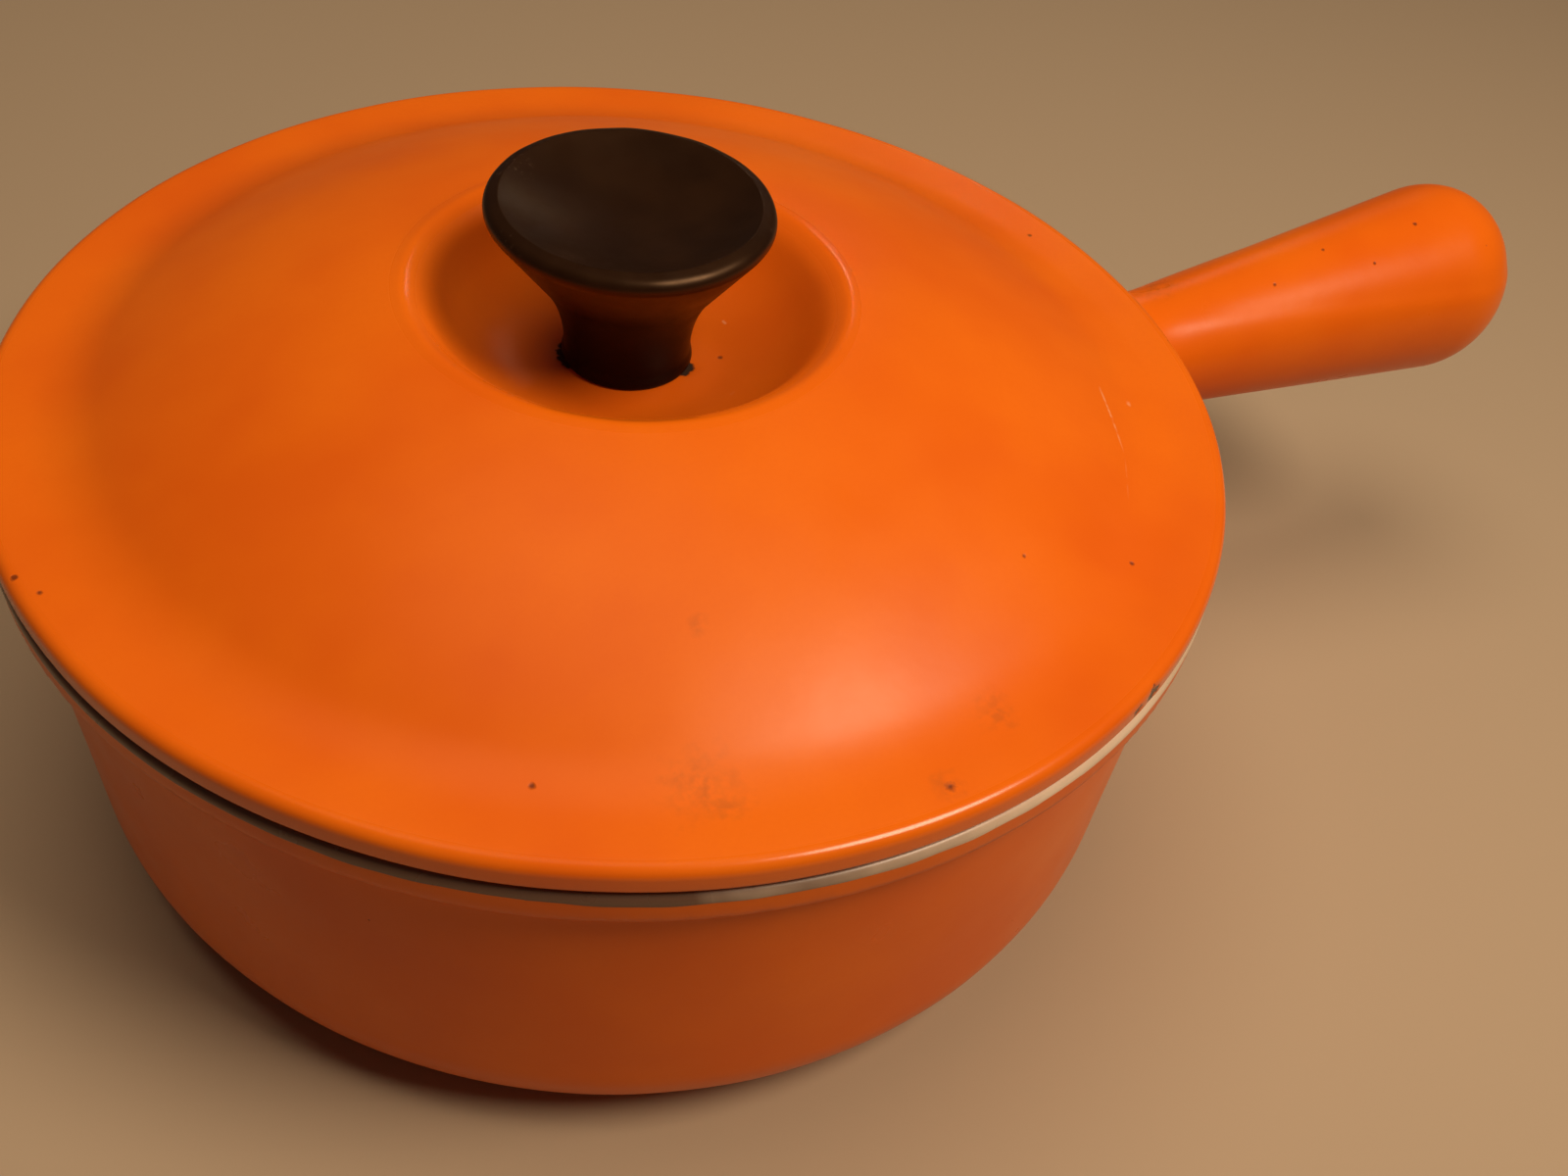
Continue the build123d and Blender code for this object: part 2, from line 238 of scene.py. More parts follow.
def add_camera():
    cam = bpy.data.cameras.new("camera")
    obj = bpy.data.objects.new("camera", cam)
    scene.collection.objects.link(obj)
    ahead = Vector((
        sine(CAMERA_PAN) * cosine(CAMERA_TILT), cosine(CAMERA_PAN) * cosine(CAMERA_TILT), -sine(CAMERA_TILT)
    ))
    level = Vector((cosine(CAMERA_PAN), -sine(CAMERA_PAN), 0))
    above = level.cross(ahead)
    right = cosine(CAMERA_ROLL) * level + sine(CAMERA_ROLL) * above
    up = cosine(CAMERA_ROLL) * above - sine(CAMERA_ROLL) * level
    turn = Matrix((right, up, -ahead)).transposed().to_4x4()
    obj.matrix_world = Matrix.Translation(Vector(CAMERA_PLACE) * MM) @ turn
    cam.sensor_width = 36
    cam.lens = CAMERA_LENS
    cam.shift_x, cam.shift_y = CAMERA_SHIFT
    cam.clip_start, cam.clip_end = 0.01, 20
    scene.camera = obj


def add_light(name, place, aim, size, power, color):
    light = bpy.data.lights.new(name, "AREA")
    light.shape = "DISK"
    light.size = size
    light.energy = power
    light.color = color
    obj = bpy.data.objects.new(name, light)
    obj.location = place
    obj.rotation_mode = "QUATERNION"
    obj.rotation_quaternion = (Vector(aim) - Vector(place)).to_track_quat("-Z", "Y")
    scene.collection.objects.link(obj)
    return obj


add_camera()
WARM = (1.0, 0.78, 0.56)
LIGHTS_AIM = (0.0, 0.0, 0.08)
# key: soft and warm, to the right of the camera
add_light("key", (0.305, -0.375, 0.72), LIGHTS_AIM, 0.36, 4.8, WARM)
# fill from above, switched off in reflections
add_light("fill", (-0.05, 0.10, 0.92), LIGHTS_AIM, 0.60, 3.4, WARM).visible_glossy = False
# small far lamp that only glints on the crest round the knob
add_light("glint", (0.85, 1.05, 0.75), (0.0, 0.0, 0.1), 0.05, 0.2, WARM).visible_diffuse = False
world = bpy.data.worlds.new("studio")
scene.world = world
world.use_nodes = True
sky = world.node_tree.nodes["Background"].inputs
sky["Color"].default_value = (1.0, 0.85, 0.7, 1)
sky["Strength"].default_value = 0.035


# ---- materials --------------------------------------------------------------
class Nodes:
    """Short names for the shader nodes the materials use. Places and sizes are in millimetres."""

    def __init__(self, name):
        self.material = bpy.data.materials.new(name)
        self.material.use_nodes = True
        self.tree = self.material.node_tree
        self.bsdf = self.tree.nodes["Principled BSDF"]
        self.place = self.tree.nodes.new("ShaderNodeTexCoord").outputs["Object"]

    def plug(self, socket, value):
        if isinstance(value, bpy.types.NodeSocket):
            self.tree.links.new(value, socket)
        elif isinstance(value, tuple) and len(value) == 3 and socket.type == "RGBA":
            socket.default_value = (*value, 1)
        else:
            socket.default_value = value

    def node(self, kind, inputs=(), **settings):
        made = self.tree.nodes.new("ShaderNode" + kind)
        for key, value in settings.items():
            setattr(made, key, value)
        for key, value in dict(inputs).items():
            self.plug(made.inputs[key], value)
        return made

    def noise(self, size, detail=2.0, roughness=0.5):
        inputs = {"Vector": self.place, "Scale": 1 / (size * MM), "Detail": detail, "Roughness": roughness}
        return self.node("TexNoise", inputs).outputs["Fac"]

    def math(self, operation, a, b=0.0, clamp=False):
        return self.node("Math", {0: a, 1: b}, operation=operation, use_clamp=clamp).outputs[0]

    def remap(self, value, low, high, to_low=0.0, to_high=1.0):
        inputs = {"Value": value, "From Min": low, "From Max": high, "To Min": to_low, "To Max": to_high}
        return self.node("MapRange", inputs, clamp=True).outputs[0]

    def mix(self, share, a, b):
        made = self.node("Mix", data_type="RGBA")
        self.plug(made.inputs[0], share)
        self.plug(made.inputs[6], a)
        self.plug(made.inputs[7], b)
        return made.outputs[2]

    def vector(self, operation, a, b=(0.0, 0.0, 0.0)):
        return self.node("VectorMath", {0: a, 1: b}, operation=operation).outputs

    def off_axis(self):
        """Distance from the bowl's axis."""
        flat = self.vector("MULTIPLY", self.place, (1.0, 1.0, 0.0))[0]
        return self.vector("LENGTH", flat)["Value"]

    def band(self, value, low, high, soft):
        """1 where a length is between two others, with soft edges."""
        up = self.remap(value, (low - soft) * MM, low * MM)
        return self.math("MULTIPLY", up, self.remap(value, (high + soft) * MM, high * MM))

    def spot(self, centre, radius, soft=0.5, ragged=0.0, grain=1.5):
        """1 inside a round mark, 0 outside it, with a soft and ragged edge."""
        far = self.vector("DISTANCE", self.place, tuple(c * MM for c in centre))["Value"]
        if ragged:
            wander = self.remap(self.noise(grain, 3), 0.3, 0.7, -ragged * MM, ragged * MM)
            far = self.math("ADD", far, wander)
        return self.remap(far, (radius + soft) * MM, (radius - soft) * MM)

    def scratch(self, start, end, width):
        """1 along a straight fine line between two places, broken up by noise."""
        start, end = Vector(start) * MM, Vector(end) * MM
        span = end - start
        rel = self.vector("SUBTRACT", self.place, tuple(start))[0]
        share = self.vector("DOT_PRODUCT", rel, tuple(span / span.length_squared))["Value"]
        share = self.math("ADD", share, 0.0, clamp=True)
        near = self.node("VectorMath", {0: tuple(span), "Scale": share}, operation="SCALE").outputs[0]
        far = self.vector("DISTANCE", rel, near)["Value"]
        line = self.remap(far, width * MM, 0.4 * width * MM)
        return self.math("MULTIPLY", line, self.remap(self.noise(2.2, 3), 0.40, 0.56))

    def most(self, masks):
        """The largest of several masks."""
        total = masks[0]
        for mask in masks[1:]:
            total = self.math("MAXIMUM", total, mask)
        return total

    def specks(self, size, share, radius):
        """Sparse dots: cells of the given size, a share of them holding one dot."""
        cells = self.node("TexVoronoi", {"Vector": self.place, "Scale": 1 / (size * MM), "Randomness": 1.0})
        dot = self.remap(cells.outputs["Distance"], radius / size, 0.55 * radius / size)
        picked = self.node("SeparateColor", {0: cells.outputs["Color"]}).outputs[0]
        return self.math("MULTIPLY", dot, self.math("LESS_THAN", picked, share))

    def bump(self, height, distance, strength=1.0, normal=None):
        inputs = {"Height": height, "Distance": distance * MM, "Strength": strength}
        if normal is not None:
            inputs["Normal"] = normal
        return self.node("Bump", inputs).outputs["Normal"]

    def set(self, **values):
        names = {"color": "Base Color", "roughness": "Roughness", "metallic": "Metallic", "normal": "Normal",
                 "specular": "Specular IOR Level", "tint": "Specular Tint"}
        for key, value in values.items():
            self.plug(self.bsdf.inputs[names[key]], value)
        return self.material


ORANGE = (0.85, 0.168, 0.005)
ORANGE_DEEP = (0.77, 0.128, 0.004)
PALE = (0.82, 0.66, 0.50)
PALE_STAINED = (0.70, 0.54, 0.38)
BARE_SPOT = (0.035, 0.016, 0.008)
PIT = (0.10, 0.02, 0.008)
SMUDGE = (0.22, 0.07, 0.02)
SCRATCH = (0.95, 0.55, 0.30)
# colour of the painted shade on the outer edge of the pan's pale rim
RIM_SHADE_COLOR = (0.09, 0.03, 0.012)


def polar(radius, azimuth, z):
    return (radius * cosine(azimuth), radius * sine(azimuth), z)


def on_lid(rows):
    """Marks on the lid. Each row: radius from the axis, azimuth, height, size, soft edge, ragged edge."""
    return tuple((polar(radius, azimuth, z), *mark) for radius, azimuth, z, *mark in rows)


def on_handle(rows):
    """Marks on the handle. Each row: way out from its root, turn from its top toward +Y, then as above."""
    marks = []
    for along, turn, *mark in rows:
        radius = HANDLE_ROOT + along * tangent(HANDLE_TAPER)
        place = (WALL_TOP + along * cosine(HANDLE_RISE), radius * sine(turn),
                 HANDLE_HEIGHT + along * sine(HANDLE_RISE) + radius * cosine(turn))
        marks.append((place, *mark))
    return tuple(marks)


LID_PITS = on_lid((
    (91.8, -120.4, 82.7, 0.45, 0.2, 0.1),
    (100.0, -85.6, 82.0, 0.5, 0.5, 0.3),
    (97.3, 11.6, 82.0, 0.4, 0.2, 0.1),
    (91.5, -50.1, 82.7, 0.35, 0.2, 0.1),
    (77.8, -60.9, 88.6, 0.3, 0.2, 0.1),
    (101.3, -168.9, 82.0, 0.4, 0.2, 0.1),
    (103.3, -171.5, 82.0, 0.5, 0.2, 0.2),
    (15.9, -23.6, 88.3, 0.4, 0.2, 0.1),
))
LID_CHIPS = on_lid((
    (104.6, -10.9, 80.9, 0.9, 0.3, 0.5),
    (105.0, -62.8, 79.3, 1.5, 0.4, 0.8),
    (105.0, -65.2, 79.0, 0.9, 0.4, 0.6),
    (10.2, 152.0, 88.2, 1.3, 0.2, 0.3),
    (10.3, 161.0, 88.2, 1.5, 0.2, 0.3),
    (10.3, 170.0, 88.2, 1.5, 0.2, 0.3),
    (10.2, 179.0, 88.2, 1.4, 0.2, 0.3),
    (10.3, -40.0, 88.2, 1.5, 0.2, 0.3),
    (10.2, -49.0, 88.2, 1.3, 0.2, 0.3),
))
LID_SMUDGES = on_lid((
    (91.5, -106.1, 82.9, 3.4, 3.4, 2.0),
    (94.4, -103.9, 82.1, 1.8, 2.0, 1.2),
    (92.6, -77.1, 82.6, 2.0, 2.6, 1.5),
    (100.0, -85.6, 82.0, 1.6, 1.6, 1.0),
    (69.7, -104.4, 92.3, 0.8, 1.2, 0.6),
))
# fine pale scratches: start, end and width
LID_SCRATCHES = (
    (polar(88.5, -43, 84.0), polar(86.5, -34, 84.8), 0.35),
    (polar(86.5, -34, 84.8), polar(83.0, -23, 86.4), 0.35),
    (polar(89.0, -23.5, 83.6), polar(89.0, -22.9, 83.6), 0.6),
    (polar(52.0, 34, 96.8), polar(51.0, 27, 97.0), 0.3),
    (polar(19.2, 5, 89.0), polar(19.2, 7, 89.0), 0.4),
    (polar(20.8, -57, 89.5), polar(20.8, -55, 89.5), 0.4),
)
# rings of the lid rubbed smooth: the crest and the edge, by distance from the axis
LID_POLISHED = ((34.5, 38.0), (103.0, 106.0))
HANDLE_PITS = on_handle((
    (38.0, -24, 0.35, 0.2, 0.1),
    (52.0, -8, 0.3, 0.2, 0.1),
    (61.0, -31, 0.25, 0.15, 0.1),
    (74.0, -12, 0.4, 0.2, 0.1),
    (88.0, -40, 0.25, 0.15, 0.1),
    (96.0, -5, 0.3, 0.2, 0.1),
    (104.0, -52, 0.3, 0.2, 0.1),
))
HANDLE_STAIN = on_handle(((16.0, 22, 3.0, 3.0, 2.0),))


def orange_enamel(name, pits, smudges, chips=(), scratches=(), polished=(), roughness=0.36, specular=0.36):
    n = Nodes(name)
    mottle = n.remap(n.noise(38, 3), 0.35, 0.68)
    color = n.mix(mottle, ORANGE, ORANGE_DEEP)
    fine = n.remap(n.noise(0.9, 2), 0.35, 0.7)
    color = n.mix(n.math("MULTIPLY", fine, 0.12), color, ORANGE_DEEP)
    marks = n.most([n.spot(*mark, grain=3.0) for mark in smudges])
    marks = n.math("MULTIPLY", marks, n.remap(n.noise(1.6, 4), 0.36, 0.62))
    color = n.mix(n.math("MULTIPLY", marks, 0.30), color, SMUDGE)
    dots = n.most([n.specks(7.0, 0.015, 0.24)] + [n.spot(*mark, grain=0.9) for mark in pits])
    color = n.mix(n.math("MULTIPLY", dots, 0.8), color, PIT)
    rough = n.remap(n.noise(16, 4), 0.3, 0.7, roughness - 0.03, roughness + 0.05)
    rough = n.math("ADD", rough, n.math("MULTIPLY", dots, 0.25), clamp=True)
    hollows = dots
    if scratches:
        worn = n.most([n.scratch(*line) for line in scratches])
        color = n.mix(n.math("MULTIPLY", worn, 0.45), color, SCRATCH)
    if chips:
        bare = n.most([n.spot(*mark, grain=1.2) for mark in chips])
        color = n.mix(bare, color, BARE_SPOT)
        rough = n.math("ADD", rough, n.math("MULTIPLY", bare, 0.4), clamp=True)
        hollows = n.most([dots, bare])
    if polished:
        shine = n.most([n.band(n.off_axis(), low, high, 0.6) for low, high in polished])
        rough = n.mix(shine, rough, (0.2, 0.2, 0.2))
        specular = n.remap(shine, 0.0, 1.0, specular, 0.5)
    peel = n.bump(n.noise(2.4, 2), 0.035, 0.5)
    normal = n.bump(n.math("MULTIPLY", hollows, -1.0), 0.12, 0.8, peel)
    return n.set(color=color, roughness=rough, normal=normal, specular=specular)


def rim_painted_shade(n):
    """Painted shade on the rim's outer edge, where the lid's edge shades it: everywhere but a lit stretch at
    the right.
    """
    # how far a place lies toward the lit side at the right, where the painted shade fades
    toward = n.vector("DOT_PRODUCT", n.place, polar(1, -42, 0))["Value"]
    wander = n.remap(n.noise(14, 3), 0.3, 0.7, -8 * MM, 8 * MM)
    painted_shade = n.remap(n.math("ADD", toward, wander), 82 * MM, 44 * MM)
    return n.math("MULTIPLY", painted_shade, n.remap(n.off_axis(), 103.0 * MM, 104.2 * MM))


def pale_enamel():
    n = Nodes("pale_enamel_glass")
    stain = n.remap(n.noise(30, 4), 0.42, 0.7)
    color = n.mix(stain, PALE, PALE_STAINED)
    dots = n.specks(4.0, 0.1, 0.2)
    color = n.mix(n.math("MULTIPLY", dots, 0.7), color, (0.12, 0.07, 0.04))
    # painted shade on the rim's outer edge, under the lid, lighter toward the lit right
    color = n.mix(n.math("MULTIPLY", rim_painted_shade(n), 0.92), color, RIM_SHADE_COLOR)
    rough = n.remap(n.noise(12, 4), 0.3, 0.7, 0.22, 0.36)
    return n.set(color=color, roughness=rough, normal=n.bump(n.noise(2.6, 2), 0.03, 0.5))


def phenolic():
    n = Nodes("black_phenolic_moulding")
    height = n.node("SeparateXYZ", {0: n.place}).outputs["Z"]
    haze = n.remap(n.noise(9, 4), 0.35, 0.7)
    color = n.mix(haze, (0.014, 0.005, 0.002), (0.021, 0.008, 0.003))
    # the rim is scuffed in places, and a few pale dots are scattered over the knob
    scuff = n.remap(n.noise(0.8, 5, 0.7), 0.56, 0.66)
    edge = n.math("MULTIPLY", n.remap(height, (KNOB_SEAT + 26.3) * MM, (KNOB_SEAT + 27.5) * MM), scuff)
    edge = n.math("MULTIPLY", edge, n.remap(n.noise(14, 2), 0.5, 0.62))
    color = n.mix(n.math("MULTIPLY", edge, 0.5), color, (0.20, 0.13, 0.09))
    dots = n.specks(3.6, 0.06, 0.16)
    color = n.mix(n.math("MULTIPLY", dots, 0.75), color, (0.32, 0.22, 0.15))
    # the neck is darker and duller than the rim and the dish
    neck = n.remap(height, (KNOB_SEAT + 22) * MM, (KNOB_SEAT + 15) * MM)
    color = n.mix(neck, color, (0.004, 0.0012, 0.0008))
    specular = n.remap(neck, 0.0, 1.0, 0.5, 0.16)
    rough = n.remap(n.noise(5, 4), 0.3, 0.7, 0.32, 0.44)
    normal = n.bump(n.noise(0.5, 3), 0.012, 0.5)
    return n.set(color=color, roughness=rough, normal=normal, specular=specular, tint=(1.0, 0.62, 0.36))


def metal(name, low, high, grain, roughness):
    n = Nodes(name)
    patch = n.remap(n.noise(grain * 6, 4), 0.35, 0.68)
    color = n.mix(patch, low, high)
    rough = n.remap(n.noise(grain, 4), 0.3, 0.7, roughness - 0.08, roughness + 0.1)
    return n.set(color=color, roughness=rough, metallic=1.0, normal=n.bump(n.noise(grain, 4), 0.04, 0.6))


lid_orange = orange_enamel("orange_enamel_lid", LID_PITS, LID_SMUDGES, LID_CHIPS, LID_SCRATCHES, LID_POLISHED)
pan_orange = orange_enamel("orange_enamel_pan", HANDLE_PITS, HANDLE_STAIN, roughness=0.3, specular=0.2)
pale = pale_enamel()
black = phenolic()
iron = metal("bare_iron_ground", (0.10, 0.095, 0.09), (0.17, 0.16, 0.15), 0.8, 0.48)
steel = metal("fixing_steel_plated", (0.42, 0.41, 0.39), (0.55, 0.54, 0.52), 0.5, 0.34)
brass = metal("insert_brass_turned", (0.55, 0.38, 0.15), (0.65, 0.47, 0.2), 0.5, 0.35)


# ---- lid --------------------------------------------------------------------
def dome_path(path, tighter=0.0):
    """The lid's upper surface from the hollow's floor out to the flange.

    The crest's arc can be tighter by a length: straight runs beside it then keep both its tangents.
    """
    crest_turn = CREST_INNER_SLOPE + DOME_HEAD_SLOPE
    foot = DOME_FOOT - DOME_FOOT_ROUND * sine(DOME_SLOPE)
    dome_round = (foot - DOME_HEAD) / (sine(DOME_SLOPE) - sine(DOME_HEAD_SLOPE))
    crest_z = LID_PLANE + DOME_FOOT_ROUND * (1 - cosine(DOME_SLOPE))
    crest_z += dome_round * (cosine(DOME_HEAD_SLOPE) - cosine(DOME_SLOPE))
    crest_z += CREST_ROUND * (1 - cosine(DOME_HEAD_SLOPE))
    wall_drop = crest_z - KNOB_SEAT - CREST_ROUND * (1 - cosine(CREST_INNER_SLOPE))
    wall_drop -= CREST_INNER_ROUND * (cosine(CREST_INNER_SLOPE) - cosine(HOLLOW_SLOPE))
    wall_drop -= HOLLOW_ROUND * (1 - cosine(HOLLOW_SLOPE))
    floor = DOME_HEAD - CREST_ROUND * (sine(DOME_HEAD_SLOPE) + sine(CREST_INNER_SLOPE))
    floor -= CREST_INNER_ROUND * (sine(HOLLOW_SLOPE) - sine(CREST_INNER_SLOPE))
    floor -= HOLLOW_ROUND * sine(HOLLOW_SLOPE) + wall_drop / tangent(HOLLOW_SLOPE)
    path.run_to_r(floor)
    path.arc(HOLLOW_ROUND, HOLLOW_SLOPE)
    path.line(wall_drop / sine(HOLLOW_SLOPE))
    path.arc(CREST_INNER_ROUND, CREST_INNER_SLOPE - HOLLOW_SLOPE)
    path.line(tighter * tangent(crest_turn / 2))
    path.arc(CREST_ROUND - tighter, -crest_turn)
    path.line(tighter * tangent(crest_turn / 2))
    path.arc(dome_round, DOME_HEAD_SLOPE - DOME_SLOPE)
    path.arc(DOME_FOOT_ROUND, DOME_SLOPE)


CHIP_DEPTH = 0.3
SEEN_CREST_TIGHTER = 1.9  # the enamel's crest is this much tighter than the casting's


def lid_shape(az, r, z):
    """Cast and fired surface: a slow ripple away from the knob, a wavy edge, and the chips pressed in."""
    wave = ripple(az, r, 11, 0.028)
    z = z + wave * np.clip((r - 16) / 10, 0, 1)
    edge = np.clip((r - LID_RADIUS + 3.0) / 3.0, 0, 1)
    r = r + edge * ripple(az, z, 12, 0.05)
    at_edge = r > LID_RADIUS / 2
    for (x, y, h), size, _, _ in LID_CHIPS:
        away = np.sqrt((r * np.cos(az) - x) ** 2 + (r * np.sin(az) - y) ** 2 + (z - h) ** 2)
        sunk = CHIP_DEPTH * np.exp(-((away / size) ** 4))
        r = np.where(at_edge, r - sunk, r)
        z = np.where(at_edge, z, z - sunk)
    return r, z


def make_lid_top():
    path = Path(SCREW_HOLE, KNOB_SEAT, 0)
    dome_path(path, SEEN_CREST_TIGHTER)
    path.run_to_r(LID_RADIUS - LID_EDGE_ROUND)
    path.arc(LID_EDGE_ROUND, -90)
    path.run_to_z(LID_SEAT + LID_EDGE_FOOT)
    path.arc(LID_EDGE_FOOT, -90)
    return turned_shell("lid_top", path.points, -COAT, 576, lid_shape)


def make_lid_underside():
    path = Path(LID_RADIUS - LID_EDGE_FOOT, LID_SEAT, -180)
    path.run_to_r(RING_OUTER + RING_ROUND)
    path.arc(RING_ROUND, 90)
    path.run_to_z(LID_SEAT - RING_DEPTH + RING_ROUND)
    path.arc(RING_ROUND, -90)
    path.run_to_r(RING_INNER + RING_ROUND)
    path.arc(RING_ROUND, -90)
    dome = Path(SCREW_HOLE, KNOB_SEAT, 0)
    dome_path(dome)
    under = left_offset(dome.points, -LID_THICKNESS)
    under = under[(under[:, 0] < RING_INNER) & (under[:, 0] > SCREW_HOLE - 0.1)][::-1]
    path.run_to_z(under[0, 1])
    points = path.points + [tuple(p) for p in under]
    return turned_shell("lid_underside", points, -COAT, 384)


# ---- knob -------------------------------------------------------------------
def knob_shape(az, r, z):
    """Small dents worn into the rim."""
    rim = np.clip((r - 19.5) / 2, 0, 1)
    dent = ripple(az, z * 3, 31, 0.03, 40)
    return r + rim * dent, z + rim * dent * 0.6


def make_knob():
    path = Path(KNOB_BORE, KNOB_SEAT + KNOB_BORE_DEPTH, 0, 0.7)
    path.points = [(0, KNOB_SEAT + KNOB_BORE_DEPTH)] + path.points
    path.jump(KNOB_BORE, KNOB_SEAT)
    path.run_to_r(KNOB_FOOT - KNOB_FOOT_EDGE)
    path.arc(KNOB_FOOT_EDGE, 90)
    path.arc(KNOB_NECK_CURVE, KNOB_NECK_TURN)
    path.arc(KNOB_NECK_CURVE, -KNOB_NECK_TURN)
    path.arc(KNOB_FLARE_ROUND, -KNOB_FLARE_LEAN)
    path.run_to_r(KNOB_RADIUS - KNOB_RIM_LOW_ROUND * (1 - cosine(KNOB_FLARE_LEAN)))
    path.arc(KNOB_RIM_LOW_ROUND, KNOB_FLARE_LEAN)
    path.arc(KNOB_RIM_TOP_ROUND, KNOB_RIM_TURN)
    path.run_to_r(KNOB_DISH_RADIUS)
    path.arc(KNOB_DISH_EDGE, KNOB_DISH_EDGE_TURN)
    path.arc(path.r / sine(KNOB_DISH_LEAN), -KNOB_DISH_LEAN)
    return turned_solid("knob_moulding", path.points, 256, knob_shape)


# ---- pan --------------------------------------------------------------------
def pan_profile(step):
    """The bowl's outside from the middle of its base to above the rim."""
    draft = math.degrees(math.atan2(WALL_TOP - WALL_FOOT, LIP_FOOT - BOTTOM_ROUND))
    lip_start = 90 - draft - LIP_LEAN
    path = Path(0, 0, 0, step)
    path.run_to_r(WALL_FOOT - BOTTOM_ROUND)
    path.arc(BOTTOM_ROUND, 90 - draft)
    path.run_to_z(LIP_FOOT)
    path.arc(LIP_CURVE, -LIP_LEAN)
    path.run_to_r(RIM_RADIUS - LIP_CURVE * (1 - sine(lip_start)))
    path.arc(LIP_CURVE, 90 - lip_start)
    path.run_to_z(RIM_HEIGHT + 6)
    return np.array(path.points)


def handle_profile(step, flare):
    """The handle's outline along its own axis, with the flare at its root or as a plain taper."""
    centre = HANDLE_LENGTH - TIP
    slope = tangent(HANDLE_TAPER)
    drop = SHOULDER * sine(HANDLE_TAPER)
    level = HANDLE_ROOT + (centre - drop) * slope - SHOULDER * cosine(HANDLE_TAPER)
    spread = 1 + slope**2
    gap = TIP - SHOULDER
    ahead = (math.sqrt((level * slope) ** 2 - spread * (level**2 - gap**2)) - level * slope) / spread
    dome_turn = math.degrees(math.atan2(level + ahead * slope, ahead))
    if flare:
        lean = HANDLE_TAPER + 2 * math.degrees(math.atan2(flare - FLARE_LENGTH * slope, FLARE_LENGTH))
        path = Path(0, HANDLE_ROOT + flare, -lean, step)
        path.arc(FLARE_LENGTH / (sine(lean) + sine(HANDLE_TAPER)), lean + HANDLE_TAPER)
    else:
        path = Path(-ROOT_DEPTH - 2, HANDLE_ROOT - (ROOT_DEPTH + 2) * slope, HANDLE_TAPER, step)
    path.run_to_r(centre + ahead - drop)
    path.arc(SHOULDER, dome_turn - 90 - HANDLE_TAPER)
    path.arc(TIP, -dome_turn)
    return np.array(path.points)


class Outline:
    """Signed distance to a path in a plane, and its direction, from closely spaced samples."""

    def __init__(self, points, outward):
        self.p = points
        d = np.gradient(points, axis=0)
        d /= np.linalg.norm(d, axis=1)[:, None]
        self.n = outward * np.stack([-d[:, 1], d[:, 0]], 1)

    def measure(self, a, b, batch=8000):
        far = np.empty(len(a))
        way = np.empty((len(a), 2))
        for i in range(0, len(a), batch):
            q = np.stack([a[i:i + batch], b[i:i + batch]], 1)
            near = ((q[:, None, 0] - self.p[:, 0]) ** 2 + (q[:, None, 1] - self.p[:, 1]) ** 2).argmin(1)
            far[i:i + batch] = ((q - self.p[near]) * self.n[near]).sum(1)
            way[i:i + batch] = self.n[near]
        return far, way


def blend_min(d1, g1, d2, g2, k):
    """The smaller of two distances, and its direction, blended softly where they are close."""
    h = np.clip(0.5 + 0.5 * (d2 - d1) / k, 0, 1)
    return d2 * (1 - h) + d1 * h - k * h * (1 - h), g2 * (1 - h)[:, None] + g1 * h[:, None]


def unit(vectors):
    return vectors / np.maximum(np.linalg.norm(vectors, axis=1), 1e-6)[:, None]


bowl = Outline(pan_profile(0.25), -1)
grip_flared = Outline(handle_profile(0.25, FLARE), 1)
grip_plain = Outline(handle_profile(0.25, 0), 1)
HANDLE_WAY = np.array([cosine(HANDLE_RISE), 0, sine(HANDLE_RISE)])
HANDLE_START = np.array([WALL_TOP, 0, HANDLE_HEIGHT])


def grip_field(outline, along, out, way):
    """Distance to one turned grip, closed off behind its root inside the bowl's wall."""
    d, w = outline.measure(along, out)
    g = w[:, :1] * HANDLE_WAY + w[:, 1:] * way
    back = -ROOT_DEPTH - along
    ahead = d > back
    return np.where(ahead, d, back), np.where(ahead[:, None], g, -HANDLE_WAY)


def pan_field(p):
    """Distance to the outside of the bowl and handle together, with a soft joint between them."""
    r = np.hypot(p[:, 0], p[:, 1])
    d1, w1 = bowl.measure(r, p[:, 2])
    outward = p[:, :2] / np.maximum(r, 1e-6)[:, None]
    g1 = np.column_stack([w1[:, :1] * outward, w1[:, 1]])
    rel = p - HANDLE_START
    along = rel @ HANDLE_WAY
    side = rel - along[:, None] * HANDLE_WAY
    out = np.linalg.norm(side, axis=1)
    way = side / np.maximum(out, 1e-6)[:, None]
    d2, g2 = grip_field(grip_flared, along, out, way)
    d3, g3 = grip_field(grip_plain, along, out, way)
    # the flare stops under the rim; the plain grip rises past it
    up = np.array([[0.0, 0.0, 1.0]]).repeat(len(p), 0)
    under_roof, g_roof = blend_min(-d2, -g2, FLARE_TOP - p[:, 2], -up, ROOF_BLEND)
    d2, g2 = blend_min(-under_roof, -g_roof, d3, g3, GRIP_BLEND)
    return blend_min(d1, g1, d2, g2, ROOT_BLEND)


def places(mesh):
    """A mesh's vertices as an array of millimetres."""
    verts = np.empty(len(mesh.vertices) * 3)
    mesh.vertices.foreach_get("co", verts)
    return verts.reshape(-1, 3) / MM


VOXEL = 1.4
PULLS, EVENING_PULLS = 7, 4  # steps onto the exact surface, and how many of them also even the mesh out


